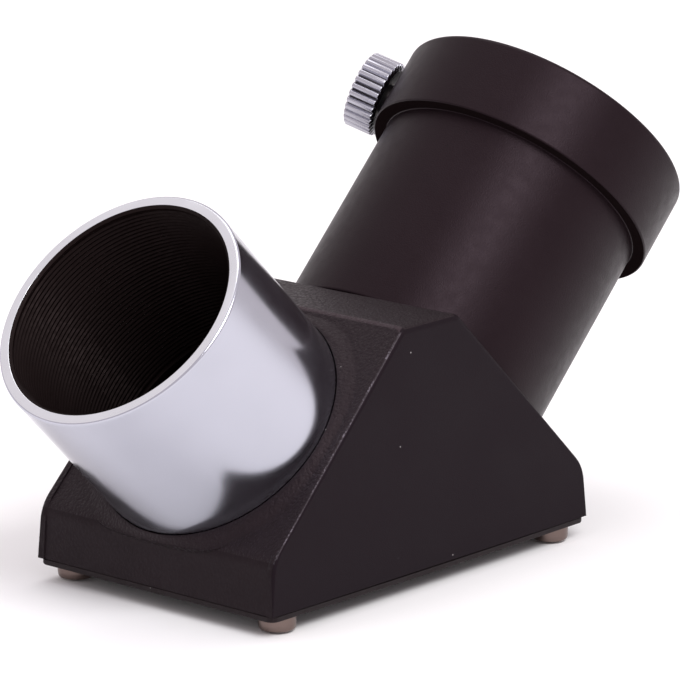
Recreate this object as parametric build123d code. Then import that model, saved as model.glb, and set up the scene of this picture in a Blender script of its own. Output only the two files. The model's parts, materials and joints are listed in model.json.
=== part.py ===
from build123d import *
from math import cos, radians, sin, sqrt
import os

# Star diagonal, 1.25 inch, 90 degrees. All sizes in millimetres.
# While it is being modelled, the light path's bend sits at (0, 0, 0): the nosepiece leaves it
# towards -X and up, the eyepiece holder towards +X and up, both at 45 degrees.
# The finished pieces are moved together so that the origin is under the middle of the object.

# ---- standard sizes --------------------------------------------------------------------
NOSE_R = 15.875            # 1.25 inch nosepiece
EYEPIECE_BORE_R = 15.9     # takes a 1.25 inch eyepiece barrel
FILTER_R = 14.25           # M28.5 x 0.6 filter thread

# ---- housing ---------------------------------------------------------------------------
PLATE_T = 0.8              # base plate
BASE_DROP = 1.43           # underside of the base plate below the bend
HOUSING_L = 57.1           # length over the skirts at the base
HOUSING_W = 37.9           # width over the side walls at the base
HOUSING_H = 30.46          # top face above the underside of the base plate
SLOPE_D = 24.0             # sloped faces, from the bend
SKIRT_DRAFT = 0.055        # how far the end skirts lean in, per mm of height
SIDE_DRAFT = 0.022         # the same for the side walls
LIP = 0.3                  # side walls stand this far proud of slopes and skirts
LIP_W = 1.0
LIP_CORNER_R = 5.0
WALL = 2.3
SOCKET_R = 17.6            # rings inside the slopes that hold the two tubes
SPIGOT_R = 15.3
SPIGOT_END = 17.55         # inner end of both spigots, from the bend
LEDGE_R = 13.9
LEDGE_D = 15.45            # face of the ledge that the prism's mask lies on
BOSS_R = 2.6
BOSS_H = 6.5

# ---- prism and its packing -------------------------------------------------------------
PRISM_LEG = 30.0
PRISM_WIDTH = 30.0
PRISM_EDGE_CUT = 0.8
MASK_T = 0.4
MASK_R = 14.9
MASK_HOLE_R = 13.4
PAD_T = 0.6
PAD_L = 36.0
PAD_W = 26.0
SIDE_PAD_T = 1.2
SIDE_PAD_L = 22.0
SIDE_PAD_H = 8.0

# ---- base screws -----------------------------------------------------------------------
SCREW_X = 24.8
SCREW_Y = 16.2
HEAD_R = 2.25
HEAD_H = 2.0
SHANK_R = 1.25
SHANK_L = 6.0

# ---- nosepiece and eyepiece holder, distances along each axis from the bend ------------
NOSE_END = 47.7
NOSE_BORE_R = 14.0
FILTER_DEPTH = 22.0
HOLDER_R = 17.2
COLLAR_R = 18.93
COLLAR_START = 51.05
HOLDER_END = 61.2
EYEPIECE_STOP = 29.5
SEAT_CHAMFER = 0.4

# ---- thumbscrew ------------------------------------------------------------------------
CLAMP_D = 55.7             # along the holder's axis
CLAMP_TURN = 29.0          # from +Y towards the nosepiece, about the holder's axis
STUD_R = 1.95              # M4 x 0.7
STUD_TIP = 15.98           # tip, just clear of the bore
KNOB_R = 4.82
KNOB_IN = 19.3             # faces of the head, from the holder's axis
KNOB_OUT = 23.25
FLUTES = 30
FLUTE_R = 0.3
INSERT_R = 2.9
INSERT_IN = 16.3
INSERT_OUT = 18.45

GAP = 0.03                 # between pieces that fit together
ROOT2 = sqrt(2.0)
NOSE_DIR = Vector(-1 / ROOT2, 0, 1 / ROOT2)
HOLDER_DIR = Vector(1 / ROOT2, 0, 1 / ROOT2)
CLAMP_DIR = Vector(0, 1, 0) * cos(radians(CLAMP_TURN)) + NOSE_DIR * sin(radians(CLAMP_TURN))
PLATE_TOP = PLATE_T - BASE_DROP
HOUSING_TOP = HOUSING_H - BASE_DROP


def along(direction, distance, start=Vector(0, 0, 0)):
    """Plane square to a direction, at a distance from the start."""
    return Plane(origin=start + direction * distance, x_dir=(0, 1, 0), z_dir=direction)


def rod(direction, inner, outer, radius, start=Vector(0, 0, 0)):
    """Cylinder between two distances along a direction from the start."""
    plane = along(direction, inner, start)
    return plane * Cylinder(radius, outer - inner, align=(Align.CENTER, Align.CENTER, Align.MIN))


def turned(direction, outline):
    """Piece turned about an axis, from (radius, distance) points."""
    face = make_face(Polyline([(r, 0, d) for r, d in outline], close=True))
    return along(direction, 0) * revolve(face, Axis.Z)


def wedge(slope, half_length, half_width, top, skirt_corner_r=0.0):
    """Two 45 degree slopes over short skirts, with leaning side walls."""
    reach = ROOT2 * slope
    skirt_z = (reach - half_length - SKIRT_DRAFT * PLATE_TOP) / (1 - SKIRT_DRAFT)
    skirt_x = reach - skirt_z
    right = [(half_length, PLATE_TOP), (skirt_x, skirt_z), (reach - top, top)]
    outline = right + [(-x, z) for x, z in reversed(right)]
    side_view = Plane.XZ * make_face(Polyline(*outline, close=True))
    if skirt_corner_r > 0:
        corners = side_view.vertices().filter_by(lambda v: abs(v.Z - skirt_z) < 0.01)
        side_view = fillet(corners, skirt_corner_r)
    lean = SIDE_DRAFT * (top - PLATE_TOP)
    end_outline = [
        (half_width, PLATE_TOP),
        (half_width - lean, top),
        (lean - half_width, top),
        (-half_width, PLATE_TOP),
    ]
    end_view = Plane.YZ * make_face(Polyline(*end_outline, close=True))
    return extrude(side_view, 60, both=True) & extrude(end_view, 60, both=True)


def at_corners(make_one):
    """The same piece at each of the four base screws."""
    return [Pos(sx * SCREW_X, sy * SCREW_Y, 0) * make_one for sx in (-1, 1) for sy in (-1, 1)]


def make_housing():
    half_l = HOUSING_L / 2
    half_w = HOUSING_W / 2
    faces = wedge(SLOPE_D - LIP, half_l - LIP, half_w, HOUSING_TOP - 0.001)
    side_walls = wedge(SLOPE_D, half_l, half_w, HOUSING_TOP, LIP_CORNER_R)
    side_walls -= wedge(SLOPE_D + 3, half_l + 3, half_w - LIP_W, HOUSING_TOP + 3)
    outside = faces + side_walls
    inside = wedge(SLOPE_D - LIP - WALL, half_l - LIP - WALL, half_w - WALL, HOUSING_TOP - WALL)
    inside += Pos(0, 0, -2) * extrude(inside.faces().sort_by(Axis.Z)[0], 2, dir=(0, 0, 1))
    body = outside - inside
    bosses = [Pos(0, 0, PLATE_TOP) * one for one in at_corners(
        Cylinder(BOSS_R, BOSS_H, align=(Align.CENTER, Align.CENTER, Align.MIN)))]
    sockets = [rod(d, LEDGE_D, SLOPE_D - 1, SOCKET_R) for d in (NOSE_DIR, HOLDER_DIR)]
    for extra in bosses + sockets:
        body += extra & outside
    for direction in (NOSE_DIR, HOLDER_DIR):
        body -= rod(direction, LEDGE_D - 2, SLOPE_D + 5, LEDGE_R)
        body -= rod(direction, SPIGOT_END - GAP, SLOPE_D + 5, SPIGOT_R + GAP)
    for hole in at_corners(Cylinder(SHANK_R + GAP, 2 * SHANK_L, align=(Align.CENTER,) * 3)):
        body -= Pos(0, 0, PLATE_TOP) * hole
    return body


def make_base_plate():
    outline = RectangleRounded(HOUSING_L - 0.3, HOUSING_W - 0.3, 2.0)
    plate = extrude(outline, PLATE_T)
    for hole in at_corners(Cylinder(SHANK_R + 0.15, 4 * PLATE_T)):
        plate -= hole
    return Pos(0, 0, -BASE_DROP) * plate


def make_base_screws():
    head = Cylinder(HEAD_R, HEAD_H, align=(Align.CENTER, Align.CENTER, Align.MIN))
    head = fillet(head.edges().group_by(Axis.Z)[0], 0.4)
    for turn in (0, 90):
        head -= Rot(0, 0, turn) * Box(2.4, 0.5, 1.6)
    shank = Cylinder(SHANK_R, SHANK_L, align=(Align.CENTER, Align.CENTER, Align.MIN))
    screw = head + Pos(0, 0, HEAD_H) * shank
    screws = at_corners(Pos(0, 0, -BASE_DROP - HEAD_H) * screw)
    return Compound(screws)


def make_nosepiece():
    seat = SLOPE_D - LIP
    return turned(NOSE_DIR, [
        (NOSE_BORE_R, SPIGOT_END),
        (SPIGOT_R, SPIGOT_END),
        (SPIGOT_R, seat),
        (NOSE_R - 0.3, seat),
        (NOSE_R, seat + 0.3),
        (NOSE_R, NOSE_END - 0.3),
        (NOSE_R - 0.3, NOSE_END),
        (FILTER_R + 0.35, NOSE_END),
        (FILTER_R, NOSE_END - 0.35),
        (FILTER_R, NOSE_END - 0.35 - FILTER_DEPTH),
        (NOSE_BORE_R, NOSE_END - 0.6 - FILTER_DEPTH),
    ])


def make_eyepiece_holder():
    seat = SLOPE_D - LIP
    holder = turned(HOLDER_DIR, [
        (NOSE_BORE_R, SPIGOT_END),
        (SPIGOT_R, SPIGOT_END),
        (SPIGOT_R, seat),
        (HOLDER_R - SEAT_CHAMFER, seat),
        (HOLDER_R, seat + SEAT_CHAMFER),
        (HOLDER_R, COLLAR_START),
        (COLLAR_R - 0.3, COLLAR_START),
        (COLLAR_R, COLLAR_START + 0.3),
        (COLLAR_R, HOLDER_END - 0.5),
        (COLLAR_R - 0.5, HOLDER_END),
        (EYEPIECE_BORE_R + 0.5, HOLDER_END),
        (EYEPIECE_BORE_R, HOLDER_END - 0.5),
        (EYEPIECE_BORE_R, EYEPIECE_STOP),
        (NOSE_BORE_R, EYEPIECE_STOP),
    ])
    centre = HOLDER_DIR * CLAMP_D
    holder -= rod(CLAMP_DIR, 10, 25, STUD_R + 0.2, centre)
    holder -= rod(CLAMP_DIR, INSERT_IN - GAP, 25, INSERT_R + GAP, centre)
    return holder


def make_thumbscrew_insert():
    centre = HOLDER_DIR * CLAMP_D
    insert = rod(CLAMP_DIR, INSERT_IN, INSERT_OUT, INSERT_R, centre)
    return insert - rod(CLAMP_DIR, 10, 25, STUD_R + 0.05, centre)


def make_thumbscrew_stud():
    centre = HOLDER_DIR * CLAMP_D
    stud = rod(CLAMP_DIR, STUD_TIP, KNOB_OUT - 0.8, STUD_R, centre)
    tip = stud.edges().sort_by(lambda e: (e.center() - centre).dot(CLAMP_DIR))[0]
    return chamfer(tip, 0.3)


def make_thumbscrew_knob():
    height = KNOB_OUT - KNOB_IN
    knob = Cylinder(KNOB_R, height, align=(Align.CENTER, Align.CENTER, Align.MIN))
    knob = chamfer(knob.edges().filter_by(GeomType.CIRCLE), 0.25)
    groove = Cylinder(FLUTE_R, 3 * height)
    with_flutes = [Rot(0, 0, n * 360 / FLUTES) * Pos(KNOB_R + 0.05, 0, 0) * groove for n in range(FLUTES)]
    knob -= with_flutes
    knob -= Cylinder(STUD_R + 0.02, 2 * (height - 0.78))
    return along(CLAMP_DIR, KNOB_IN, HOLDER_DIR * CLAMP_D) * knob


def make_prism():
    reach = PRISM_LEG / ROOT2
    triangle = make_face(Polyline((-reach, 0), (reach, 0), (0, reach), close=True))
    prism = extrude(Plane.XZ * triangle, PRISM_WIDTH / 2, both=True)
    long_edges = prism.edges().filter_by(Axis.Y)
    return chamfer(long_edges, PRISM_EDGE_CUT)


def make_mask(direction):
    start = PRISM_LEG / 2 + GAP / 2
    return rod(direction, start, start + MASK_T, MASK_R) - rod(direction, 10, 20, MASK_HOLE_R)


def make_prism_pad():
    return Pos(0, 0, PLATE_TOP) * Box(PAD_L, PAD_W, PAD_T, align=(Align.CENTER, Align.CENTER, Align.MIN))


def make_side_pad(side):
    pad = Box(SIDE_PAD_L, SIDE_PAD_T, SIDE_PAD_H, align=(Align.CENTER, Align.MIN, Align.MIN))
    pad = Pos(0, PRISM_WIDTH / 2 + GAP / 2, 1.0) * pad
    return pad if side > 0 else mirror(pad, Plane.XZ)


pieces = {
    "housing": make_housing(),
    "base_plate": make_base_plate(),
    "base_screws": make_base_screws(),
    "nosepiece": make_nosepiece(),
    "eyepiece_holder": make_eyepiece_holder(),
    "thumbscrew_insert": make_thumbscrew_insert(),
    "thumbscrew_stud": make_thumbscrew_stud(),
    "thumbscrew_knob": make_thumbscrew_knob(),
    "prism": make_prism(),
    "prism_pad": make_prism_pad(),
    "prism_side_pad_left": make_side_pad(1),
    "prism_side_pad_right": make_side_pad(-1),
    "prism_mask_nose": make_mask(NOSE_DIR),
    "prism_mask_eyepiece": make_mask(HOLDER_DIR),
}

boxes = [piece.bounding_box() for piece in pieces.values()]
middle_x = (min(box.min.X for box in boxes) + max(box.max.X for box in boxes)) / 2
middle_y = (min(box.min.Y for box in boxes) + max(box.max.Y for box in boxes)) / 2
to_origin = Pos(-middle_x, -middle_y, -min(box.min.Z for box in boxes))

os.makedirs("parts", exist_ok=True)
for node, piece in pieces.items():
    export_step(to_origin * piece, f"parts/{node}.step")
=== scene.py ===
import json
from math import acos, atan2, cos, hypot, pi, radians, sin, sqrt, tan

import bmesh
import bpy
from mathutils import Matrix, Vector
from mathutils.geometry import intersect_line_line


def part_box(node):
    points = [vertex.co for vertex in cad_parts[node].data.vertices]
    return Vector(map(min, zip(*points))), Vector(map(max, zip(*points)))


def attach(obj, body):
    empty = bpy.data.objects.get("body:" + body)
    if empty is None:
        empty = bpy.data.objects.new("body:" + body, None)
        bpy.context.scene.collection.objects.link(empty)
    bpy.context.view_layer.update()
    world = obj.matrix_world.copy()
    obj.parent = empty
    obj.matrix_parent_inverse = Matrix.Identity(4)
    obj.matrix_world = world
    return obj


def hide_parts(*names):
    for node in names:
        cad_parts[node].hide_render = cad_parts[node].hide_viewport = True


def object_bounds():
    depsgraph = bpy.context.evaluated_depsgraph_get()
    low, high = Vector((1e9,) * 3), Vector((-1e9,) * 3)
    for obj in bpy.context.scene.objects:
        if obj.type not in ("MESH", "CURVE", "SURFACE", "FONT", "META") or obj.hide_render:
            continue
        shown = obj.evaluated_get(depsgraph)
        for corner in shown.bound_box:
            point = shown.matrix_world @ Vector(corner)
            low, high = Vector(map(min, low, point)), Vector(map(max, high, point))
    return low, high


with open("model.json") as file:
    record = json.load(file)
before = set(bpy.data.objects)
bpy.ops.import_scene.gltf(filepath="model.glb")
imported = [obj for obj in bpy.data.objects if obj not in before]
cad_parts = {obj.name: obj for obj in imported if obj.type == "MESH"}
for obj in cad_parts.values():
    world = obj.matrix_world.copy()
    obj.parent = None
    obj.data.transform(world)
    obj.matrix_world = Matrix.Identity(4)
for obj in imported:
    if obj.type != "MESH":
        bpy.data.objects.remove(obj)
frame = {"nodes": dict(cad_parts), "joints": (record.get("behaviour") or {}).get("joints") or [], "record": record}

cad_low, cad_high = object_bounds()

# Star diagonal. Shapes are written in millimetres from the bend of the light path, which is
# where the axes of the nosepiece and the eyepiece holder meet, and placed in the row frame.
MM = 0.001
MOUNTS = {mount["name"]: mount for mount in frame["record"]["mounts"]}
NOSE = MOUNTS["nosepiece"]
EYEPIECE = MOUNTS["eyepiece_bore"]
NOSE_DIR = Vector(NOSE["axis"]).normalized()
HOLDER_DIR = Vector(EYEPIECE["axis"]).normalized()
NOSE_AT = Vector(NOSE["pos_m"])
EYEPIECE_AT = Vector(EYEPIECE["pos_m"])
BEND = intersect_line_line(NOSE_AT, NOSE_AT + NOSE_DIR, EYEPIECE_AT, EYEPIECE_AT + HOLDER_DIR)[0]
TRAVEL = next(joint for joint in frame["joints"] if joint["name"] == "thumbscrew_travel")
TURN = next(joint for joint in frame["joints"] if joint["name"] == "thumbscrew_turn")
CLAMP_DIR = Vector(TRAVEL["axis"]).normalized()
CLAMP_D = (Vector(TURN["pos_m"]) - BEND).dot(HOLDER_DIR) / MM
TO_ROW = Matrix.Translation(BEND) @ Matrix.Scale(MM, 4)
ORIGIN = Vector((0, 0, 0))


def spots(node):
    """The corners of a CAD node, in millimetres from the bend."""
    return [(vertex.co - BEND) / MM for vertex in frame["nodes"][node].data.vertices]


def reach(node, direction, start=ORIGIN):
    """The nearest and furthest a CAD node comes along a direction."""
    distances = [(spot - start).dot(direction) for spot in spots(node)]
    return min(distances), max(distances)


def widest(node, direction, start=ORIGIN):
    """The largest distance of a CAD node's corners from an axis."""
    offsets = [spot - start for spot in spots(node)]
    return max((offset - direction * offset.dot(direction)).length for offset in offsets)


CLAMP_CENTRE = HOLDER_DIR * CLAMP_D
X_DIR = Vector((1, 0, 0))
Y_DIR = Vector((0, 1, 0))
Z_DIR = Vector((0, 0, 1))

NOSE_R = NOSE["dims"]["r_mm"]
THREAD_R = MOUNTS["filter_thread"]["dims"]["r_mm"]
BORE_R = EYEPIECE["dims"]["r_mm"]
SPIGOT_END, NOSE_END = reach("nosepiece", NOSE_DIR)
HOLDER_END = reach("eyepiece_holder", HOLDER_DIR)[1]
COLLAR_R = widest("eyepiece_holder", HOLDER_DIR)
KNOB_IN, KNOB_OUT = reach("thumbscrew_knob", CLAMP_DIR, CLAMP_CENTRE)
KNOB_R = widest("thumbscrew_knob", CLAMP_DIR, CLAMP_CENTRE)
STUD_TIP, STUD_OUT = reach("thumbscrew_stud", CLAMP_DIR, CLAMP_CENTRE)
STUD_R = widest("thumbscrew_stud", CLAMP_DIR, CLAMP_CENTRE)
INSERT_IN, INSERT_OUT = reach("thumbscrew_insert", CLAMP_DIR, CLAMP_CENTRE)
INSERT_R = widest("thumbscrew_insert", CLAMP_DIR, CLAMP_CENTRE)
PLATE_BOTTOM, PLATE_TOP = reach("base_plate", Z_DIR)
PLATE_HALF_L = reach("base_plate", X_DIR)[1]
PLATE_HALF_W = reach("base_plate", Y_DIR)[1]
HOUSING_TOP = reach("housing", Z_DIR)[1]
HALF_L = reach("housing", X_DIR)[1]
HALF_W = reach("housing", Y_DIR)[1]
SLOPE_D = reach("housing", NOSE_DIR)[1]

# inside of the object, as in the CAD
SPIGOT_R = 15.3            # threaded spigot of both tubes
LIGHT_R = 14.0             # light path inside both tubes
LEDGE_R = 13.9             # light path through the housing's ledges
LEDGE_D = 15.45            # how far out the ledges start
SOCKET_R = 17.6            # thick wall around each socket
HOLDER_R = 17.2            # eyepiece tube under its collar
COLLAR_START = 51.05
EYEPIECE_STOP = 29.5       # where an eyepiece's barrel comes to rest
WALL = 2.3
FIT = 0.03                 # play around a part that sits in another
CLAMP_PITCH = 0.7

# housing outside
LIP = 0.16                 # side walls stand proud of slopes and skirts
LIP_W = 1.0
LIP_SLANT = 0.06           # the step down from a lip leans in
SKIRT_DRAFT = 0.055
SIDE_DRAFT = 0.022
SKIRT_R = 5.0              # between slopes and skirts, on the side walls
SUNK_SKIRT_R = 3.2         # the same between the lips
TOP_R = 1.3                # between slopes and top
RIM_R = 0.36               # between side walls and lips
TOP_RIM_R = 0.85           # between side walls and top
TOP_RIM_BLEND = 0.9        # height over which the rim widens to it
FOOT_R = 0.06              # between side walls and underside
HAIR = 0.01                # safe margin for telling faces apart
SEAT = SLOPE_D - LIP
SWELL_D = SLOPE_D + 0.5    # low swell of the slope around the foot of the nosepiece
SWELL_W = 2.6
FOOT_GAP = 0.1             # narrow gap between the swell and the nosepiece

# base
SCREW_X = 24.8
SCREW_Y = 16.2
SCREW_HEAD_H = PLATE_BOTTOM - reach("base_screws", Z_DIR)[0]
BOSS_R = 2.6
BOSS_H = 6.5
CORNERS = ((1, 1), (-1, 1), (-1, -1), (1, -1))

# ---- camera ----------------------------------------------------------------------------
AZIMUTH, ELEVATION, ROLL = -48.374, 13.779, -0.168
DISTANCE = 0.5967          # metres
LENS = 261.78              # millimetres, on the sensor below
SENSOR_W = 36.0
AIM_OFFSET = Vector((-0.38, -0.97, -3.77)) * MM     # from the middle of the CAD box


def aimed(azimuth, elevation):
    """Direction from the object towards an azimuth and elevation, in degrees."""
    a, e = radians(azimuth), radians(elevation)
    return Vector((sin(a) * cos(e), -cos(a) * cos(e), sin(e)))


def make_camera():
    """Camera at the photo's viewing angle."""
    data = bpy.data.cameras.new("camera")
    data.lens = LENS
    data.sensor_width = SENSOR_W
    data.clip_start = 0.01
    data.clip_end = 50.0
    camera = bpy.data.objects.new("camera", data)
    bpy.context.scene.collection.objects.link(camera)
    back = aimed(AZIMUTH, ELEVATION)
    camera.location = (cad_low + cad_high) / 2 + AIM_OFFSET + back * DISTANCE
    camera.rotation_mode = "QUATERNION"
    turn = Matrix.Rotation(radians(ROLL), 3, back).to_quaternion()
    camera.rotation_quaternion = turn @ (-back).to_track_quat("-Z", "Y")
    bpy.context.scene.camera = camera


make_camera()
bpy.context.scene.view_settings.view_transform = "Standard"


# ---- surfaces --------------------------------------------------------------------------
class Finish:
    """A Principled surface and short ways to add the nodes that drive it."""

    def __init__(self, name, constants):
        self.material = bpy.data.materials.new(name)
        self.material.use_nodes = True
        self.nodes = self.material.node_tree.nodes
        self.links = self.material.node_tree.links
        self.shader = self.nodes["Principled BSDF"]
        for socket, value in constants.items():
            self.shader.inputs[socket].default_value = value
        self.place = self.nodes.new("ShaderNodeTexCoord").outputs["Object"]

    def feed(self, socket, value):
        """Sets a socket, or links another node to it."""
        if isinstance(value, bpy.types.NodeSocket):
            self.links.new(value, socket)
        elif value is not None:
            socket.default_value = value

    def stretched(self, scale):
        """Object coordinates scaled per axis."""
        node = self.nodes.new("ShaderNodeMapping")
        self.feed(node.inputs["Vector"], self.place)
        node.inputs["Scale"].default_value = scale
        return node.outputs["Vector"]

    def noise(self, size, detail=3.0, roughness=0.5, place=None, distortion=0.0):
        """Soft noise whose blotches are about size millimetres."""
        node = self.nodes.new("ShaderNodeTexNoise")
        self.feed(node.inputs["Vector"], place or self.place)
        node.inputs["Scale"].default_value = 1 / (size * MM)
        node.inputs["Detail"].default_value = detail
        node.inputs["Roughness"].default_value = roughness
        node.inputs["Distortion"].default_value = distortion
        return node.outputs["Fac"]

    def cells(self, size, feature="F1"):
        """Distance to the middle of cells about size millimetres wide."""
        node = self.nodes.new("ShaderNodeTexVoronoi")
        node.feature = feature
        self.feed(node.inputs["Vector"], self.place)
        node.inputs["Scale"].default_value = 1 / (size * MM)
        return node.outputs["Distance"]

    def bend_range(self, value, low, high, out_low=0.0, out_high=1.0):
        """value mapped from low..high to out_low..out_high, smoothly and clamped."""
        node = self.nodes.new("ShaderNodeMapRange")
        node.interpolation_type = "SMOOTHSTEP"
        self.feed(node.inputs["Value"], value)
        node.inputs["From Min"].default_value = low
        node.inputs["From Max"].default_value = high
        node.inputs["To Min"].default_value = out_low
        node.inputs["To Max"].default_value = out_high
        return node.outputs["Result"]

    def maths(self, operation, first, second):
        """Two values added, multiplied and so on."""
        node = self.nodes.new("ShaderNodeMath")
        node.operation = operation
        self.feed(node.inputs[0], first)
        self.feed(node.inputs[1], second)
        return node.outputs["Value"]

    def mixed(self, share, first, second):
        """Colour between first and second by share."""
        node = self.nodes.new("ShaderNodeMix")
        node.data_type = "RGBA"
        self.feed(node.inputs["Factor"], share)
        self.feed(node.inputs["A"], first)
        self.feed(node.inputs["B"], second)
        return next(out for out in node.outputs if out.type == "RGBA")

    def bump(self, height, depth, strength=1.0, under=None):
        """Relief depth millimetres deep, over another relief if one is given."""
        node = self.nodes.new("ShaderNodeBump")
        node.inputs["Strength"].default_value = strength
        node.inputs["Distance"].default_value = depth * MM
        self.feed(node.inputs["Height"], height)
        if under is not None:
            self.feed(node.inputs["Normal"], under)
        return node.outputs["Normal"]

    def drive(self, socket, value):
        """Feeds one of the surface's own sockets."""
        self.feed(self.shader.inputs[socket], value)


def grey(red, green=None, blue=None):
    """Opaque colour from one value, or a tinted one from three."""
    green = red if green is None else green
    blue = red if blue is None else blue
    return (red, green, blue, 1.0)


def dull(name, shine, tint=(1.0, 1.0, 1.0)):
    """Surface of plastic or paint: how much it mirrors, and the tint of what it mirrors."""
    return Finish(name, {"Specular IOR Level": shine, "IOR": 1.5, "Specular Tint": grey(*tint)})


def dusted(finish, colour, share, size=1.7):
    """A few pale dust specks over a colour."""
    speck = finish.bend_range(finish.cells(size), 0.045, 0.03)
    sparse = finish.bend_range(finish.noise(size * 2.3, 2.0), 0.51, 0.55)
    dust = finish.maths("MULTIPLY", finish.maths("MULTIPLY", speck, sparse), share)
    return finish.mixed(dust, colour, grey(0.42, 0.40, 0.40))


def housing_grain(name, light, relief, shine):
    """Moulded black plastic with a small leathery grain, for slopes, skirts and top; light scales its colour for
    lighter and darker copies that carry painted highlight and painted shade.
    """
    finish = dull(name, shine, (1.0, 0.80, 0.90))
    dark, pale = [grey(*(light * channel for channel in tint))
                  for tint in ((0.0066, 0.0040, 0.0050), (0.0106, 0.0068, 0.0082))]
    tone = finish.mixed(finish.noise(6.0, 4.0), dark, pale)
    leather = finish.maths("ADD", finish.cells(0.36, "SMOOTH_F1"),
                           finish.maths("MULTIPLY", finish.noise(0.2, 3.0, 0.55), 0.9))
    finish.drive("Base Color", dusted(finish, tone, 0.8))
    finish.drive("Roughness", finish.bend_range(leather, 0.5, 1.1, 0.32, 0.54))
    soft = finish.bump(finish.noise(2.5, 2.0), 0.02, 0.6)
    finish.drive("Normal", finish.bump(leather, relief, 1.0, soft))
    return finish.material


def housing_side():
    """The same plastic, moulded against a finer tool face, for the side walls."""
    finish = dull("housing_side", 0.09, (1.0, 0.74, 0.92))
    cloud = finish.noise(9.0, 5.0)
    tone = finish.mixed(cloud, grey(0.0056, 0.0036, 0.0050), grey(0.0080, 0.0053, 0.0070))
    fine = finish.noise(0.16, 3.0, 0.65)
    finish.drive("Base Color", dusted(finish, tone, 0.7, 2.4))
    finish.drive("Roughness", finish.bend_range(cloud, 0.3, 0.7, 0.46, 0.54))
    finish.drive("Normal", finish.bump(fine, 0.03, 0.9))
    return finish.material


def housing_edge():
    """Edges of the plastic, rubbed pale in dots and streaks."""
    finish = dull("housing_edge", 0.25, (1.0, 0.85, 0.95))
    rub = finish.maths("MULTIPLY", finish.bend_range(finish.noise(0.26, 4.0, 0.7), 0.46, 0.62),
                       finish.bend_range(finish.noise(2.2, 3.0), 0.38, 0.62, 0.15, 1.0))
    finish.drive("Base Color", finish.mixed(rub, grey(0.008, 0.006, 0.007), grey(0.125, 0.110, 0.130)))
    finish.drive("Roughness", finish.bend_range(rub, 0.0, 1.0, 0.42, 0.62))
    finish.drive("Normal", finish.bump(finish.noise(0.2, 3.0), 0.03, 0.7))
    return finish.material


def plate_paint():
    """Black paint on sheet steel."""
    finish = dull("plate_paint", 0.2, (1.0, 0.82, 0.88))
    tone = finish.mixed(finish.noise(5.0, 4.0), grey(0.006, 0.0042, 0.0046), grey(0.010, 0.0072, 0.0078))
    finish.drive("Base Color", dusted(finish, tone, 0.6))
    finish.drive("Roughness", finish.bend_range(finish.noise(1.2, 4.0), 0.3, 0.7, 0.42, 0.56))
    finish.drive("Normal", finish.bump(finish.noise(0.35, 4.0, 0.6), 0.02, 0.7))
    return finish.material


def tube_plastic():
    """Satin black of the eyepiece holder, with a slight brown-violet tint."""
    finish = dull("tube_plastic", 0.115, (1.0, 0.76, 0.90))
    cloud = finish.noise(7.0, 4.0)
    tone = finish.mixed(cloud, grey(0.0080, 0.0044, 0.0055), grey(0.0105, 0.0061, 0.0076))
    pit = finish.bend_range(finish.cells(2.1), 0.075, 0.05)
    pit = finish.maths("MULTIPLY", pit, finish.bend_range(finish.noise(4.0, 2.0), 0.49, 0.53))
    finish.drive("Base Color", finish.mixed(pit, tone, grey(0.004, 0.003, 0.003)))
    finish.drive("Roughness", finish.bend_range(finish.noise(1.5, 4.0), 0.3, 0.7, 0.33, 0.40))
    finish.drive("Normal", finish.bump(finish.noise(0.17, 2.0, 0.7), 0.032, 1.0))
    return finish.material


def shadowed_plastic():
    """Dull copy of the tube's plastic without shine, as painted shade on the step under the collar."""
    finish = dull("step_shade_plastic", 0.0)
    tone = finish.mixed(finish.noise(2.0, 4.0), grey(0.0075, 0.0046, 0.0050), grey(0.0105, 0.0066, 0.0070))
    finish.drive("Base Color", tone)
    finish.drive("Roughness", finish.bend_range(finish.noise(0.8, 3.0), 0.3, 0.7, 0.6, 0.7))
    finish.drive("Normal", finish.bump(finish.noise(0.2, 3.0), 0.01, 0.6))
    return finish.material


def bore_black():
    """Matt black inside of the tubes."""
    finish = dull("bore_black", 0.10, (1.0, 0.75, 0.75))
    tone = finish.mixed(finish.noise(1.5, 4.0), grey(0.0034, 0.0017, 0.0017), grey(0.0056, 0.0031, 0.0031))
    finish.drive("Base Color", tone)
    finish.drive("Roughness", finish.bend_range(finish.noise(0.6, 4.0), 0.3, 0.7, 0.45, 0.60))
    finish.drive("Normal", finish.bump(finish.noise(0.12, 3.0), 0.01, 0.6))
    return finish.material


def chrome(name, tint, rough):
    """Plated metal with faint clouding, fine hairlines and a few rubs."""
    finish = Finish(name, {"Metallic": 1.0})
    cloud = finish.noise(5.0, 4.0)
    hair = finish.noise(0.25, 5.0, 0.7, finish.stretched((1.0, 1.0, 0.12)))
    dark, pale = [grey(*(channel * share for channel in tint)) for share in (0.93, 1.0)]
    finish.drive("Base Color", finish.mixed(cloud, dark, pale))
    rub = finish.maths("MULTIPLY", finish.bend_range(hair, 0.62, 0.74),
                       finish.bend_range(finish.noise(2.0, 3.0), 0.55, 0.7))
    base = finish.bend_range(cloud, 0.3, 0.7, rough * 0.85, rough * 1.15)
    finish.drive("Roughness", finish.maths("ADD", base, finish.maths("MULTIPLY", rub, 0.12)))
    finish.drive("Normal", finish.bump(hair, 0.0012, 0.5))
    return finish.material


def brass():
    """Turned brass, a little tarnished."""
    finish = Finish("insert_brass", {"Metallic": 1.0})
    cloud = finish.noise(0.9, 4.0)
    finish.drive("Base Color", finish.mixed(cloud, grey(0.30, 0.19, 0.075), grey(0.48, 0.33, 0.14)))
    finish.drive("Roughness", finish.bend_range(cloud, 0.3, 0.7, 0.24, 0.38))
    finish.drive("Normal", finish.bump(finish.noise(0.15, 3.0), 0.004, 0.5))
    return finish.material


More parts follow.
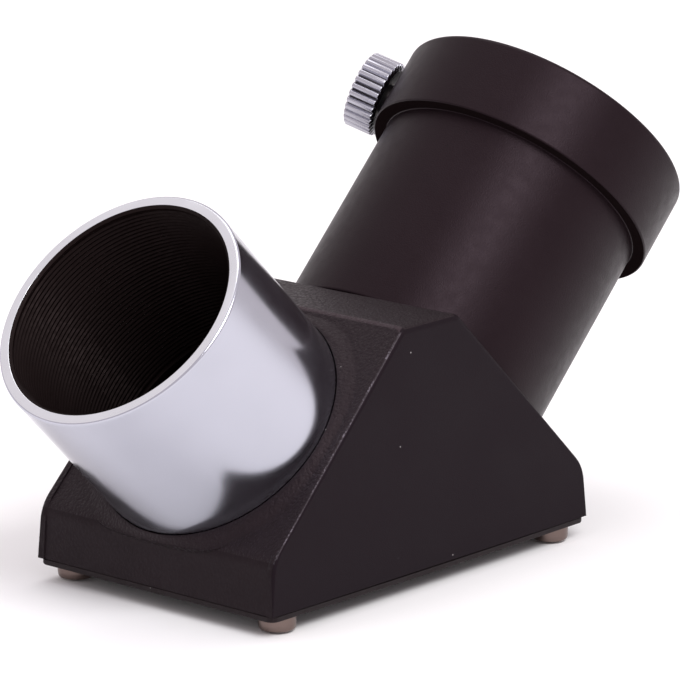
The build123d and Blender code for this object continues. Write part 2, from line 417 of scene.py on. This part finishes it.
def prism_glass():
    """Polished crown glass with a thin coating and a faint smear."""
    finish = Finish("prism_glass", {
        "Transmission Weight": 1.0, "IOR": 1.517, "Coat Weight": 0.25, "Coat Roughness": 0.03})
    smear = finish.noise(6.0, 3.0)
    finish.drive("Base Color", finish.mixed(smear, grey(0.955, 0.985, 0.975), grey(0.985, 1.0, 0.995)))
    finish.drive("Roughness", finish.bend_range(smear, 0.3, 0.8, 0.0, 0.03))
    return finish.material


def pad_foam():
    """Black closed-cell foam."""
    finish = Finish("pad_foam", {"Specular IOR Level": 0.2, "Sheen Weight": 0.25, "Sheen Roughness": 0.6})
    pores = finish.cells(0.28, "SMOOTH_F1")
    finish.drive("Base Color", finish.mixed(pores, grey(0.006), grey(0.022)))
    finish.drive("Roughness", finish.bend_range(pores, 0.1, 0.8, 0.95, 0.8))
    finish.drive("Normal", finish.bump(pores, 0.08, 0.9))
    return finish.material


def mask_card():
    """Black card with short paper fibres."""
    finish = Finish("mask_card", {"Specular IOR Level": 0.25})
    fibre = finish.noise(0.3, 5.0, 0.7, finish.stretched((1.0, 0.25, 1.0)), 1.5)
    finish.drive("Base Color", finish.mixed(fibre, grey(0.008), grey(0.026, 0.025, 0.024)))
    finish.drive("Roughness", finish.bend_range(fibre, 0.3, 0.7, 0.75, 0.9))
    finish.drive("Normal", finish.bump(fibre, 0.02, 0.8))
    return finish.material


# the housing's grain in copies that differ in lightness, relief and shine: the crease towards the nosepiece is 2.6
# times lighter as a painted highlight, and the upright skirts are darker and duller as painted shade, with a
# shallower grain
GRAIN = housing_grain("housing_grain", 1.0, 0.10, 0.20)
# lighter copy of the grain, as a painted highlight on the rounded crease towards the nosepiece
CREASE_HIGHLIGHT = housing_grain("housing_crease_highlight", 2.6, 0.12, 0.22)
# darker, duller copy of the grain, as painted shade on the upright skirts; their shallower grain is their own
# finish
SKIRT_SHADE = housing_grain("housing_skirt_shade", 0.90, 0.03, 0.14)
SIDE, EDGE = housing_side(), housing_edge()
# the step finish is a shineless copy of the tube's plastic, as painted shade under the collar
PAINT, TUBE, BLACK, STEP_SHADE = plate_paint(), tube_plastic(), bore_black(), shadowed_plastic()
CHROME = chrome("nose_chrome", (0.515, 0.522, 0.592), 0.17)
# brighter, rougher copy of the chrome, as a painted highlight on the nosepiece's rim
RIM_HIGHLIGHT = chrome("nose_rim_highlight", (0.81, 0.83, 0.875), 0.30)
KNOB_CHROME = chrome("knob_chrome", (0.47, 0.468, 0.525), 0.20)
# dark chrome as painted shade in the knob's grooves and on its inner face
KNOB_GROOVE_SHADE = chrome("knob_groove_shade", (0.20, 0.19, 0.20), 0.35)
SCREW_STEEL = chrome("screw_steel", (0.200, 0.150, 0.135), 0.32)
# nearly black steel, as painted shade where the stud shows in the gap under the knob
STUD_SHADE_STEEL = chrome("stud_steel", (0.030, 0.027, 0.028), 0.45)
BRASS, GLASS, FOAM, CARD = brass(), prism_glass(), pad_foam(), mask_card()


# ---- shapes ----------------------------------------------------------------------------
def axis_matrix(direction, start=ORIGIN):
    """Places a shape turned about Z so that Z runs along a direction from a start."""
    x_dir = Y_DIR if abs(direction.dot(Y_DIR)) < 0.5 else HOLDER_DIR
    x_dir = (x_dir - direction * x_dir.dot(direction)).normalized()
    y_dir = direction.cross(x_dir)
    turn = Matrix((x_dir, y_dir, direction)).transposed().to_4x4()
    return Matrix.Translation(start) @ turn


def rounded(points, steps=4):
    """An outline with some corners rounded: points are (a, b) or (a, b, radius)."""
    outline = []
    count = len(points)
    for i, point in enumerate(points):
        here = Vector(point[:2])
        radius = point[2] if len(point) > 2 else 0.0
        if radius <= 0:
            outline.append(here)
            continue
        before = (Vector(points[i - 1][:2]) - here).normalized()
        after = (Vector(points[(i + 1) % count][:2]) - here).normalized()
        half_angle = acos(max(-1.0, min(1.0, before.dot(after)))) / 2
        back = radius / tan(half_angle)
        centre = here + (before + after).normalized() * (radius / sin(half_angle))
        first = here + before * back - centre
        last = here + after * back - centre
        sweep = atan2(first.x * last.y - first.y * last.x, first.dot(last))
        for step in range(steps + 1):
            outline.append(centre + Matrix.Rotation(sweep * step / steps, 2) @ first)
    return outline


def lathe(outline, segments, place, ripple=None, finish_at=None, closed=True):
    """Turns an outline of (radius, distance) points about Z into a mesh."""
    mesh = bmesh.new()
    rings = []
    for radius, distance in outline:
        ring = []
        for i in range(segments):
            angle = 2 * pi * i / segments
            r = ripple(angle, radius, distance) if ripple else radius
            ring.append(mesh.verts.new(place @ Vector((r * cos(angle), r * sin(angle), distance))))
        rings.append(ring)
    pairs = len(rings) if closed else len(rings) - 1
    for k in range(pairs):
        lower, upper = rings[k], rings[(k + 1) % len(rings)]
        middle = (outline[k] + outline[(k + 1) % len(rings)]) / 2
        for i in range(segments):
            j = (i + 1) % segments
            face = mesh.faces.new((lower[i], lower[j], upper[j], upper[i]))
            face.material_index = finish_at(middle.x, middle.y) if finish_at else 0
    if not closed:
        mesh.faces.new(rings[0])
        mesh.faces.new(rings[-1])
    bmesh.ops.remove_doubles(mesh, verts=mesh.verts, dist=1e-5)
    bmesh.ops.recalc_face_normals(mesh, faces=mesh.faces)
    return mesh


def loft(rings):
    """Skins rings with the same number of points, and caps the first and the last."""
    mesh = bmesh.new()
    rows = [[mesh.verts.new(point) for point in ring] for ring in rings]
    for lower, upper in zip(rows, rows[1:]):
        for i in range(len(lower)):
            j = (i + 1) % len(lower)
            mesh.faces.new((lower[i], lower[j], upper[j], upper[i]))
    mesh.faces.new(rows[0])
    mesh.faces.new(rows[-1])
    bmesh.ops.recalc_face_normals(mesh, faces=mesh.faces)
    return mesh


def as_object(name, mesh, materials=()):
    """Object in the row frame from a mesh in millimetres from the bend."""
    mesh.transform(TO_ROW)
    data = bpy.data.meshes.new(name)
    mesh.to_mesh(data)
    mesh.free()
    for material in materials:
        data.materials.append(material)
    made = bpy.data.objects.new(name, data)
    bpy.context.scene.collection.objects.link(made)
    return made


def combine(target, operation, *tools):
    """Cuts tools out of a target, or joins them on, and uses the tools up."""
    for tool in tools:
        modifier = target.modifiers.new("combine", "BOOLEAN")
        modifier.operation = operation
        modifier.solver = "EXACT"
        modifier.object = tool
        bpy.context.view_layer.update()
        graph = bpy.context.evaluated_depsgraph_get()
        data = bpy.data.meshes.new_from_object(target.evaluated_get(graph))
        target.modifiers.clear()
        target.data = data
        bpy.data.objects.remove(tool)


def finished(piece, body, replaces, sharp=38.0):
    """Smooth shading with true edges kept, then the piece's place in the model."""
    piece.data.shade_smooth()
    piece.data.set_sharp_from_angle(angle=radians(sharp))
    weighted = piece.modifiers.new("even_shading", "WEIGHTED_NORMAL")
    weighted.keep_sharp = True
    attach(piece, body)
    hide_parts(*replaces)


def rod(direction, inner, outer, radius, start=ORIGIN, segments=96):
    """Round tool along a direction, from one distance to another."""
    outline = [Vector((radius, inner)), Vector((radius, outer))]
    return as_object("tool", lathe(outline, segments, axis_matrix(direction, start), closed=False))


def screw_thread(radius, pitch, depth, first, last, run_out):
    """Ripple of a right-hand thread at a radius, fading at its ends.

    It is cut depth millimetres inwards, or outwards into the wall of a bore if depth is negative.
    """
    def ripple(angle, r, distance):
        on_flank = abs(r - radius) < 1e-4 and first < distance < last
        if not on_flank:
            return r
        fade = min(1.0, (distance - first) / run_out, (last - distance) / run_out)
        wave = 0.5 + 0.5 * cos(2 * pi * distance / pitch - angle)
        return r - fade * depth * wave
    return ripple


def stations(first, last, step):
    """Evenly spaced distances from first to last."""
    count = max(1, round((last - first) / step))
    return [first + (last - first) * i / count for i in range(count + 1)]


# ---- housing ---------------------------------------------------------------------------
ROOT2 = sqrt(2.0)


def half_width(z):
    """Half the housing's width at a height. Its side walls lean in."""
    return HALF_W - SIDE_DRAFT * (z - PLATE_TOP)


def side_outline(inset, corner_r, top_r, bottom=PLATE_TOP, top=HOUSING_TOP):
    """Housing from the side, as (x, z) points: skirt, slope, top, slope, skirt."""
    reach_x = ROOT2 * (SLOPE_D - inset)
    half_l = HALF_L - inset
    skirt_z = (reach_x - half_l - SKIRT_DRAFT * PLATE_TOP) / (1 - SKIRT_DRAFT)
    right = [(half_l, bottom), (reach_x - skirt_z, skirt_z, corner_r), (reach_x - top, top, top_r)]
    left = [(-point[0], *point[1:]) for point in reversed(right)]
    return rounded(right + left, 6)


def drawn_in(outline, amounts):
    """Each outline point moved inwards by its amount, square to both neighbouring edges."""
    moved = []
    count = len(outline)
    for i, here in enumerate(outline):
        before = (here - outline[i - 1]).normalized()
        after = (outline[(i + 1) % count] - here).normalized()
        normals = [Vector((-edge.y, edge.x)) for edge in (before, after)]
        middle = (normals[0] + normals[1]).normalized()
        moved.append(here + middle * amounts[i] / max(0.4, middle.dot(normals[0])))
    return moved


def across(outline, side, inset):
    """The outline as points on a side wall, or that far in from it."""
    insets = inset if isinstance(inset, list) else [inset] * len(outline)
    return [Vector((p.x, side * (half_width(p.y) - depth), p.y)) for p, depth in zip(outline, insets)]


def rim_radius(z):
    """How round the edge of a side wall is: most along the top, hardly at the underside."""
    if z < PLATE_TOP + HAIR:
        return FOOT_R
    top_share = min(1.0, max(0.0, 1 - (HOUSING_TOP - z) / TOP_RIM_BLEND))
    return RIM_R + (TOP_RIM_R - RIM_R) * top_share


def shell_finish(face):
    """Slopes and top are grained, the side walls fine, and the rim facing the nosepiece is worn; the crease
    towards the nosepiece takes a lighter copy of the grain as a painted highlight, the skirts a darker one as
    painted shade.
    """
    centre, normal = face.calc_center_median(), face.normal
    side_wall = len(face.verts) > 4
    if side_wall:
        return SIDE
    towards_nose = centre.x < 0
    outside_top = abs(centre.y) > half_width(HOUSING_TOP) - TOP_RIM_R - HAIR
    if outside_top and abs(centre.y) > half_width(centre.z) - RIM_R - 2 * HAIR:
        worn = towards_nose and normal.z > 0.45 and centre.z < HOUSING_TOP - 0.8
        return EDGE if worn else SIDE
    # the rounded crease between top and slope towards the nosepiece gets the painted highlight
    on_crease = centre.z > HOUSING_TOP - 1.0 and 0.1 < -normal.x < 0.62
    if towards_nose and on_crease:
        return CREASE_HIGHLIGHT
    # upright skirts get the darker, duller copy as painted shade
    upright = abs(normal.x) > 0.9
    return SKIRT_SHADE if upright else GRAIN


def make_shell():
    """Outside of the housing: two raised side walls with rounded rims, and slopes between them."""
    raised = side_outline(0.0, SKIRT_R, TOP_R)
    recessed = side_outline(LIP, SUNK_SKIRT_R, TOP_R)
    rims = [rim_radius(point.y) for point in raised]
    rim_steps = 4
    near_side = []
    for step in range(rim_steps + 1):
        angle = step * pi / 2 / rim_steps
        flat = drawn_in(raised, [r * (1 - sin(angle)) for r in rims])
        near_side.append((flat, [r * (1 - cos(angle)) for r in rims]))
    near_side += [(raised, LIP_W), (recessed, LIP_W + LIP_SLANT)]
    rings = [across(outline, -1, inset) for outline, inset in near_side]
    rings += [across(outline, 1, inset) for outline, inset in reversed(near_side)]
    mesh = loft(rings)
    finishes = [GRAIN, SIDE, EDGE, CREASE_HIGHLIGHT, SKIRT_SHADE]
    for face in mesh.faces:
        face.material_index = finishes.index(shell_finish(face))
    return as_object("housing_shell", mesh, finishes)


def make_swell():
    """Low swell of the slope around the foot of the nosepiece."""
    inner = NOSE_R + FOOT_GAP
    buried = SEAT - 1.5
    outline = [Vector((inner, buried)), Vector((inner + SWELL_W, buried))]
    steps = 12
    for step in range(steps + 1):
        share = step / steps
        rise = (SWELL_D - SEAT) * share * share * (3 - 2 * share)
        outline.append(Vector((inner + SWELL_W * (1 - share), SEAT - 0.015 + rise)))
    to_crease = (HOUSING_TOP - 0.45) * ROOT2 - SEAT
    to_side = half_width(HOUSING_TOP / 2) - LIP_W - 0.1
    to_skirt = NOSE_R + 0.9
    blend = 24

    def kept_on_slope(angle, radius, distance):
        """Draws the swell in where the crease, a side wall or the skirt is near."""
        room = [inner + SWELL_W, to_side / max(0.1, abs(cos(angle))),
                to_crease / max(0.1, -sin(angle)), to_skirt / max(0.1, sin(angle))]
        outer = sum(limit ** -blend for limit in room) ** (-1 / blend)
        return inner + (radius - inner) / SWELL_W * (max(outer, NOSE_R + 0.3) - inner)

    return as_object("tool", lathe(outline, 192, axis_matrix(NOSE_DIR), kept_on_slope), [GRAIN])


def make_cavity():
    """Space inside the housing, with the sockets and the four screw bosses left standing."""
    inner = side_outline(LIP + WALL, 0.0, 0.0, PLATE_TOP - 1.0, HOUSING_TOP - WALL)
    walls = [[Vector((x, side * (HALF_W - WALL), z)) for x, z in inner] for side in (-1, 1)]
    cavity = as_object("tool", loft(walls))
    combine(cavity, "DIFFERENCE", *[rod(direction, LEDGE_D, SLOPE_D - 1, SOCKET_R)
                                    for direction in (NOSE_DIR, HOLDER_DIR)])
    for side_x, side_y in ((-1, -1), (-1, 1), (1, -1), (1, 1)):
        at = Vector((side_x * SCREW_X, side_y * SCREW_Y, 0))
        combine(cavity, "DIFFERENCE", rod(Z_DIR, PLATE_TOP - 3, PLATE_TOP + BOSS_H, BOSS_R, at, 32))
    return cavity


def make_housing():
    """Shell with its swell, hollowed out and bored for both tubes."""
    piece = make_shell()
    combine(piece, "UNION", make_swell())
    combine(piece, "DIFFERENCE", make_cavity())
    outside = SLOPE_D + 5
    for direction in (NOSE_DIR, HOLDER_DIR):
        combine(piece, "DIFFERENCE",
                rod(direction, LEDGE_D - 2, outside, LEDGE_R, segments=128),
                rod(direction, SPIGOT_END - FIT, outside, SPIGOT_R + FIT, segments=128))
    combine(piece, "DIFFERENCE", rod(NOSE_DIR, SEAT, outside, NOSE_R + FOOT_GAP, segments=192))
    finished(piece, "diagonal", ["housing"])


# ---- base ------------------------------------------------------------------------------
def make_base_plate():
    """Painted plate with rounded corners, bowed down a little between its screws."""
    bow = 0.10
    corner_r = 1.0
    corner_steps, side_steps = 5, 16

    def ring(inset, z):
        half_l, half_w = PLATE_HALF_L - inset - corner_r, PLATE_HALF_W - inset - corner_r
        points = []
        for here, onward in zip(CORNERS, CORNERS[1:] + CORNERS[:1]):
            turn = atan2(here[1], here[0]) - pi / 4
            centre, far = [Vector((side_x * half_l, side_y * half_w)) for side_x, side_y in (here, onward)]
            for step in range(corner_steps + 1):
                angle = turn + step * pi / 2 / corner_steps
                points.append(centre + Vector((cos(angle), sin(angle))) * corner_r)
            offset = Vector((cos(turn + pi / 2), sin(turn + pi / 2))) * corner_r
            points += [centre.lerp(far, step / side_steps) + offset for step in range(1, side_steps)]
        sags = [bow * max(0.0, 1 - (p.x / SCREW_X) ** 2) for p in points]
        return [Vector((p.x, p.y, z - sag)) for p, sag in zip(points, sags)]

    levels = [(0.14, PLATE_TOP), (0.0, PLATE_TOP - 0.12), (0.0, PLATE_BOTTOM + 0.2),
              (0.06, PLATE_BOTTOM + 0.06), (0.2, PLATE_BOTTOM)]
    piece = as_object("base_plate_painted", loft([ring(*level) for level in levels]), [PAINT])
    finished(piece, "diagonal", ["base_plate"])


def cross_recess(at, turn, half_long, half_wide, top, bottom):
    """Tapered cross-shaped tool for a screw's recess, sunk upwards from below."""
    def ring(z, share):
        a, b = half_long * share, half_wide * (0.5 + share / 2)
        corners = [(a, b), (b, b), (b, a), (-b, a), (-b, b), (-a, b),
                   (-a, -b), (-b, -b), (-b, -a), (b, -a), (b, -b), (a, -b)]
        return [Matrix.Rotation(turn, 3, "Z") @ Vector((x, y, 0)) + at + Z_DIR * z for x, y in corners]
    return as_object("tool", loft([ring(bottom, 1.0), ring(top, 0.45)]))


def make_base_screws():
    """Four low-domed cross-head screws under the plate."""
    head_r, shank_r = 2.25, 1.22
    low = PLATE_BOTTOM - SCREW_HEAD_H
    shank_end = PLATE_BOTTOM + 6.0
    outline = rounded([
        (0.0, low), (1.2, low + 0.09, 1.5), (head_r - 0.08, low + 0.34, 0.35), (head_r, low + 0.95, 0.3),
        (head_r, PLATE_BOTTOM), (shank_r, PLATE_BOTTOM), (shank_r, shank_end, 0.3), (0.0, shank_end),
    ], 5)
    thread = screw_thread(shank_r, 0.6, 0.18, PLATE_BOTTOM + 0.4, shank_end - 0.4, 0.6)
    screws = []
    turns = {(-1, -1): 0.35, (-1, 1): 1.1, (1, -1): 0.8, (1, 1): 0.1}
    for (side_x, side_y), turn in turns.items():
        at = Vector((side_x * SCREW_X, side_y * SCREW_Y, 0))
        screw = as_object("screw", lathe(outline, 64, Matrix.Translation(at), thread), [SCREW_STEEL])
        combine(screw, "DIFFERENCE", cross_recess(at, turn, 1.25, 0.3, low + 1.1, low - 0.3))
        screws.append(screw)
    joined = bmesh.new()
    for screw in screws:
        joined.from_mesh(screw.data)
        bpy.data.objects.remove(screw)
    joined.transform(TO_ROW.inverted())
    piece = as_object("base_screw_set", joined, [SCREW_STEEL])
    finished(piece, "diagonal", ["base_screws"])


# ---- tubes -----------------------------------------------------------------------------
def make_nosepiece():
    """Plated tube with a black bore that carries the filter thread and its ridges."""
    ridges_end = NOSE_END - 0.35
    ridges_start = ridges_end - 24.0
    outline = rounded([
        (LIGHT_R, SPIGOT_END, 0.1), (SPIGOT_R, SPIGOT_END, 0.2), (SPIGOT_R, SEAT),
        (NOSE_R, SEAT, 0.25), (NOSE_R, NOSE_END, 0.35),
        (THREAD_R + 0.35, NOSE_END, 0.08), (THREAD_R, ridges_end),
    ], 5)
    outline += [Vector((THREAD_R, d)) for d in reversed(stations(ridges_start, ridges_end, 0.1))][1:]
    outline.append(Vector((LIGHT_R, ridges_start - 0.25)))
    ripple = screw_thread(THREAD_R, 0.6, -0.22, ridges_start, ridges_end, 0.5)

    def finish_at(radius, distance):
        """Chrome outside, a brighter copy on the rim as a painted highlight, black in the bore and on the spigot.
        """
        if radius < THREAD_R + 0.2 or distance < SEAT - 0.05:
            return 2
        return 1 if distance > NOSE_END - 0.02 or radius < NOSE_R - 0.34 else 0

    mesh = lathe(outline, 192, axis_matrix(NOSE_DIR), ripple, finish_at)
    piece = as_object("nosepiece_tube", mesh, [CHROME, RIM_HIGHLIGHT, BLACK])
    finished(piece, "diagonal", ["nosepiece"])


def make_eyepiece_holder():
    """Black tube with its collar, stepped bore and the hole for the thumbscrew."""
    outline = rounded([
        (LIGHT_R, SPIGOT_END, 0.1), (SPIGOT_R, SPIGOT_END, 0.2), (SPIGOT_R, SEAT),
        (HOLDER_R, SEAT, 0.35), (HOLDER_R, COLLAR_START, 0.12), (COLLAR_R, COLLAR_START, 0.22),
        (COLLAR_R, HOLDER_END, 0.6), (BORE_R + 0.5, HOLDER_END, 0.1),
        (BORE_R, HOLDER_END - 0.5, 0.1), (BORE_R, EYEPIECE_STOP, 0.1), (LIGHT_R, EYEPIECE_STOP, 0.15),
    ], 5)

    def finish_at(radius, distance):
        """Satin outside, black in the bore, and painted shade, a dull copy, on the step under the collar."""
        under_collar = abs(distance - COLLAR_START) < HAIR and HOLDER_R < radius < COLLAR_R
        return 2 if under_collar else 1 if radius < BORE_R + 0.05 else 0

    mesh = lathe(outline, 192, axis_matrix(HOLDER_DIR), None, finish_at)
    piece = as_object("eyepiece_tube", mesh, [TUBE, BLACK, STEP_SHADE])
    outside = COLLAR_R + 6
    wide = rod(CLAMP_DIR, INSERT_IN - FIT, outside, INSERT_R + FIT, CLAMP_CENTRE, 64)
    narrow = rod(CLAMP_DIR, 10.0, outside, STUD_R + 0.2, CLAMP_CENTRE, 64)
    combine(piece, "DIFFERENCE", wide, narrow)
    finished(piece, "diagonal", ["eyepiece_holder"])


# ---- thumbscrew ------------------------------------------------------------------------
CLAMP_PLACE = axis_matrix(CLAMP_DIR, CLAMP_CENTRE)


def make_clamp_insert():
    """Brass ring in the collar with the thumbscrew's inside thread."""
    bore, chamfer = STUD_R + 0.05, 0.25
    first, last = INSERT_IN + chamfer, INSERT_OUT - chamfer
    outline = rounded([(INSERT_R, INSERT_IN, 0.15), (INSERT_R, INSERT_OUT, 0.15),
                       (bore + chamfer, INSERT_OUT), (bore, last)], 3)
    outline += [Vector((bore, d)) for d in reversed(stations(first, last, 0.1))][1:]
    outline.append(Vector((bore + chamfer, INSERT_IN)))
    ripple = screw_thread(bore, CLAMP_PITCH, -0.3, first, last, 0.1)
    piece = as_object("clamp_insert", lathe(outline, 64, CLAMP_PLACE, ripple), [BRASS])
    finished(piece, "diagonal", ["thumbscrew_insert"])


def make_clamp_stud():
    """Threaded stud with a chamfered tip, in nearly black steel that paints the shade in the gap under the knob.
    """
    chamfer = 0.35
    outline = [Vector((0.0, STUD_TIP)), Vector((STUD_R - chamfer, STUD_TIP))]
    outline.append(Vector((STUD_R, STUD_TIP + chamfer)))
    outline += [Vector((STUD_R, d)) for d in stations(STUD_TIP + chamfer, STUD_OUT - 0.05, 0.1)][1:]
    outline += [Vector((STUD_R - 0.05, STUD_OUT)), Vector((0.0, STUD_OUT))]
    ripple = screw_thread(STUD_R, CLAMP_PITCH, 0.38, STUD_TIP + chamfer, KNOB_IN - 0.1, 0.4)
    piece = as_object("clamp_stud_thread", lathe(outline, 64, CLAMP_PLACE, ripple), [STUD_SHADE_STEEL])
    finished(piece, "clamp_stud", ["thumbscrew_stud"])


def make_clamp_knob():
    """Fluted head with a shallow dish; its flute grooves and its inner face get a dark chrome as painted shade."""
    flutes, depth = 30, 0.52
    knob_r = KNOB_R + 0.1
    flute_zone = knob_r - 0.75

    def fluted(angle, radius, distance):
        """Sharp grooves between wide ridges, running out towards the faces."""
        groove = (0.5 + 0.5 * cos(angle * flutes)) ** 3
        share = min(1.0, max(0.0, (radius - flute_zone) / 0.45))
        return radius - share * depth * groove

    hole, hole_end = STUD_R + 0.02, STUD_OUT + 0.02
    outline = rounded([
        (hole, KNOB_IN, 0.08), (knob_r - 0.9, KNOB_IN, 0.05), (knob_r, KNOB_IN + 0.22, 0.15),
        (knob_r, KNOB_OUT - 0.2, 0.12), (knob_r - 0.3, KNOB_OUT, 0.1),
        (knob_r - 1.3, KNOB_OUT, 0.1), (knob_r - 1.55, KNOB_OUT - 0.25, 0.15), (0.0, KNOB_OUT - 0.18),
        (0.0, hole_end), (hole, hole_end),
    ], 4)
    mesh = lathe(outline, flutes * 12, CLAMP_PLACE, fluted)
    to_knob = CLAMP_PLACE.inverted()
    for face in mesh.faces:
        spot = to_knob @ face.calc_center_median()
        on_side = KNOB_IN + 0.3 < spot.z < KNOB_OUT - 0.1
        in_groove = on_side and knob_r - 1.2 < hypot(spot.x, spot.y) < knob_r - 0.33
        # grooves and the inner face towards the collar get the dark chrome, as painted shade
        face.material_index = 1 if in_groove or spot.z < KNOB_IN + 0.02 else 0
    piece = as_object("clamp_knob_fluted", mesh, [KNOB_CHROME, KNOB_GROOVE_SHADE])
    finished(piece, "clamp_head", ["thumbscrew_knob"], 50.0)


# ---- pads and kept nodes ---------------------------------------------------------------
def make_pad(name, node, thin):
    """Foam pad, thin along one axis: crowned faces, sides drawn in, corners softened."""
    low, high = [(corner - BEND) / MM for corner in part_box(node)]
    middle, half = (low + high) / 2, (high - low) / 2
    mesh = bmesh.new()
    bmesh.ops.create_cube(mesh, size=2.0)
    bmesh.ops.subdivide_edges(mesh, edges=mesh.edges, cuts=9, use_grid_fill=True)
    wide = [axis for axis in range(3) if axis != thin]
    for vertex in mesh.verts:
        u, v = vertex.co[wide[0]], vertex.co[wide[1]]
        crown = (1 - abs(u) ** 6) * (1 - abs(v) ** 6)
        waist = 1 - 0.006 * (1 - abs(vertex.co[thin]))
        vertex.co[thin] *= 0.72 + 0.26 * crown
        vertex.co[wide[0]] *= waist * (1 - 0.02 * v * v)
        vertex.co[wide[1]] *= waist * (1 - 0.02 * u * u)
        vertex.co = Vector(middle[i] + vertex.co[i] * half[i] * 0.99 for i in range(3))
    bmesh.ops.recalc_face_normals(mesh, faces=mesh.faces)
    piece = as_object(name, mesh, [FOAM])
    softer = piece.modifiers.new("softer", "SUBSURF")
    softer.levels = softer.render_levels = 1
    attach(piece, "diagonal")
    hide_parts(node)
    piece.data.shade_smooth()


def keep_node(node, material):
    """Gives a CAD node that stays a better material."""
    kept = frame["nodes"][node]
    kept.data.materials.clear()
    kept.data.materials.append(material)


make_housing()
make_base_plate()
make_base_screws()
make_nosepiece()
make_eyepiece_holder()
make_clamp_insert()
make_clamp_stud()
make_clamp_knob()
make_pad("prism_base_foam", "prism_pad", 2)
make_pad("prism_foam_left", "prism_side_pad_left", 1)
make_pad("prism_foam_right", "prism_side_pad_right", 1)
keep_node("prism", GLASS)
keep_node("prism_mask_nose", CARD)
keep_node("prism_mask_eyepiece", CARD)


# ---- floor and light -------------------------------------------------------------------
def make_floor():
    """Pale paper floor, wide enough to fill the picture."""
    mesh = bmesh.new()
    bmesh.ops.create_circle(mesh, cap_ends=True, segments=96, radius=4.0)
    data = bpy.data.meshes.new("floor")
    mesh.to_mesh(data)
    mesh.free()
    finish = Finish("floor_paper", {"Roughness": 0.9, "Specular IOR Level": 0.1})
    finish.drive("Base Color", finish.mixed(finish.noise(60.0, 3.0), grey(0.90), grey(0.915, 0.91, 0.92)))
    data.materials.append(finish.material)
    floor = bpy.data.objects.new("floor", data)
    bpy.context.scene.collection.objects.link(floor)


def make_softbox(name, azimuth, elevation, distance, width, height, power):
    """Rectangular light that faces the object; distance and size in metres, power in watts."""
    data = bpy.data.lights.new(name, "AREA")
    data.shape = "RECTANGLE"
    data.size, data.size_y = width, height
    data.energy = power
    light = bpy.data.objects.new(name, data)
    bpy.context.scene.collection.objects.link(light)
    way = aimed(azimuth, elevation)
    centre = (cad_low + cad_high) / 2
    light.location = centre + way * distance
    light.rotation_mode = "QUATERNION"
    light.rotation_quaternion = (-way).to_track_quat("-Z", "Y")


def make_world():
    """Even, faintly pink surroundings."""
    world = bpy.data.worlds.new("studio")
    world.use_nodes = True
    background = world.node_tree.nodes["Background"]
    background.inputs["Color"].default_value = (1.0, 0.93, 0.955, 1.0)
    background.inputs["Strength"].default_value = 0.85
    bpy.context.scene.world = world


make_floor()
make_world()
make_softbox("key_softbox", azimuth=-17.0, elevation=47.0, distance=1.0,
             width=0.62, height=0.44, power=6.8)
make_softbox("top_softbox", azimuth=150.0, elevation=75.0, distance=2.5,
             width=1.5, height=1.5, power=14.0)
